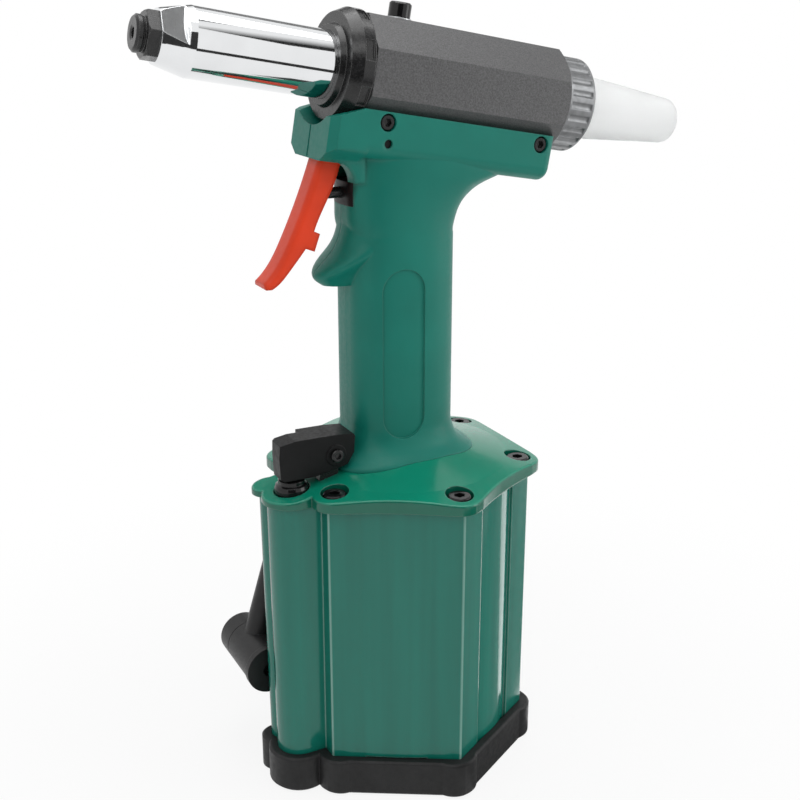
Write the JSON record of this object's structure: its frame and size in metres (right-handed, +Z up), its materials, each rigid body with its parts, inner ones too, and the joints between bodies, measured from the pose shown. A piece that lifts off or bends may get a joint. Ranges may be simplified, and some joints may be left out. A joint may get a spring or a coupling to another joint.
{
  "type": "pneumatic riveter",
  "caption": "Hand-held air riveter: six-sided air cylinder in a rubber boot, green grip with red trigger, tilted barrel with chrome nose, and a milky mandrel bottle.",
  "frame": {"origin": "middle of the foot, on the axis of the air cylinder", "axes": "+X to the nose, +Y to the left side of the tool, +Z up along the air cylinder"},
  "size_m": [0.2163, 0.1066, 0.2923],
  "materials": {
    "green_metal": "semi-gloss",
    "green_plastic": "fine satin",
    "boot_rubber": "matt",
    "seal_rubber": "matt",
    "black_steel": "black oxide",
    "black_metal": "black anodised",
    "black_plastic": "satin",
    "red_plastic": "semi-gloss",
    "grey_metal": "fine-grained satin",
    "chrome": "polished",
    "silver_metal": "satin",
    "milky_plastic": "translucent",
    "bare_steel": "ground"
  },
  "bodies": {
    "housing": {"air_cylinder": "green_metal", "cylinder_cover": "green_metal", "rubber_boot": "boot_rubber", "cover_screws": "black_steel", "grip_left": "green_plastic", "grip_right": "green_plastic", "trigger_valve_block": "black_plastic", "barrel_screws": "black_steel", "trigger_pin": "bare_steel", "barrel_head": "grey_metal", "nose_housing": "chrome", "lock_collar": "black_steel", "nosepiece": "black_steel", "rear_cap": "silver_metal", "oil_filler_screw": "black_steel", "filler_washer": "bare_steel", "oil_tube": "bare_steel", "rod_seal": "seal_rubber", "lever_lug": "black_steel", "lever_pin": "bare_steel", "valve_sleeve": "bare_steel", "inlet_elbow": "black_metal", "inlet_end_ring": "black_metal"},
    "trigger": {"trigger": "red_plastic"},
    "valve_pin": {"trigger_valve_pin": "bare_steel"},
    "ram": {"air_piston": "silver_metal", "air_piston_seal": "seal_rubber", "ram_rod": "bare_steel"},
    "pull_rod": {"draw_piston": "bare_steel", "draw_piston_seal": "seal_rubber", "jaw_case": "bare_steel", "pusher_spring": "bare_steel", "mandrel_tube": "bare_steel"},
    "jaw_set": {"jaws": "bare_steel", "jaw_pusher": "bare_steel"},
    "lever": {"lever": "black_plastic"},
    "button": {"valve_button": "black_plastic"},
    "bottle": {"collector_bottle": "milky_plastic"},
    "swivel": {"inlet_swivel": "black_metal"}
  },
  "joints": [
    {"name": "trigger_pull", "type": "hinge", "parent": "housing", "child": "trigger", "pos_m": [0.0143, 0, 0.2461], "axis": [0, 1, 0], "range_deg": [0, 10], "stiffness_Nm_per_rad": 0.3, "springref_deg": -8.59},
    {"name": "trigger_valve", "type": "slide", "parent": "housing", "child": "valve_pin", "axis": [-1, 0, 0], "range_m": [0, 0.0043]},
    {"name": "ram_stroke", "type": "slide", "parent": "housing", "child": "ram", "axis": [0, 0, 1], "range_m": [0, 0.06]},
    {"name": "draw_stroke", "type": "slide", "parent": "housing", "child": "pull_rod", "axis": [-0.9851, 0, -0.1719], "range_m": [0, 0.0171]},
    {"name": "jaw_release", "type": "slide", "parent": "pull_rod", "child": "jaw_set", "axis": [-0.9851, 0, -0.1719], "range_m": [0, 0.0014], "stiffness_N_per_m": 500, "springref_m": -0.002},
    {"name": "lever_press", "type": "hinge", "parent": "housing", "child": "lever", "pos_m": [0.0349, 0.0092, 0.13545], "axis": [0, 1, 0], "range_deg": [0, 5], "stiffness_Nm_per_rad": 0.6, "springref_deg": -5.73},
    {"name": "button_press", "type": "slide", "parent": "housing", "child": "button", "axis": [0, 0, -1], "range_m": [0, 0.0017]},
    {"name": "bottle_pull_off", "type": "slide", "parent": "housing", "child": "bottle", "axis": [-0.9851, 0, -0.1719], "range_m": [0, 0.03]},
    {"name": "inlet_turn", "type": "hinge", "parent": "housing", "child": "swivel", "pos_m": [0.056, -0.034, 0.041], "axis": [0, 1, 0], "continuous": true}
  ],
  "couplings": [
    {"joint": "trigger_valve", "follows": "trigger_pull", "m_per_rad": 0.0245},
    {"joint": "draw_stroke", "follows": "ram_stroke", "ratio": 0.283},
    {"joint": "button_press", "follows": "lever_press", "m_per_rad": 0.019}
  ]
}
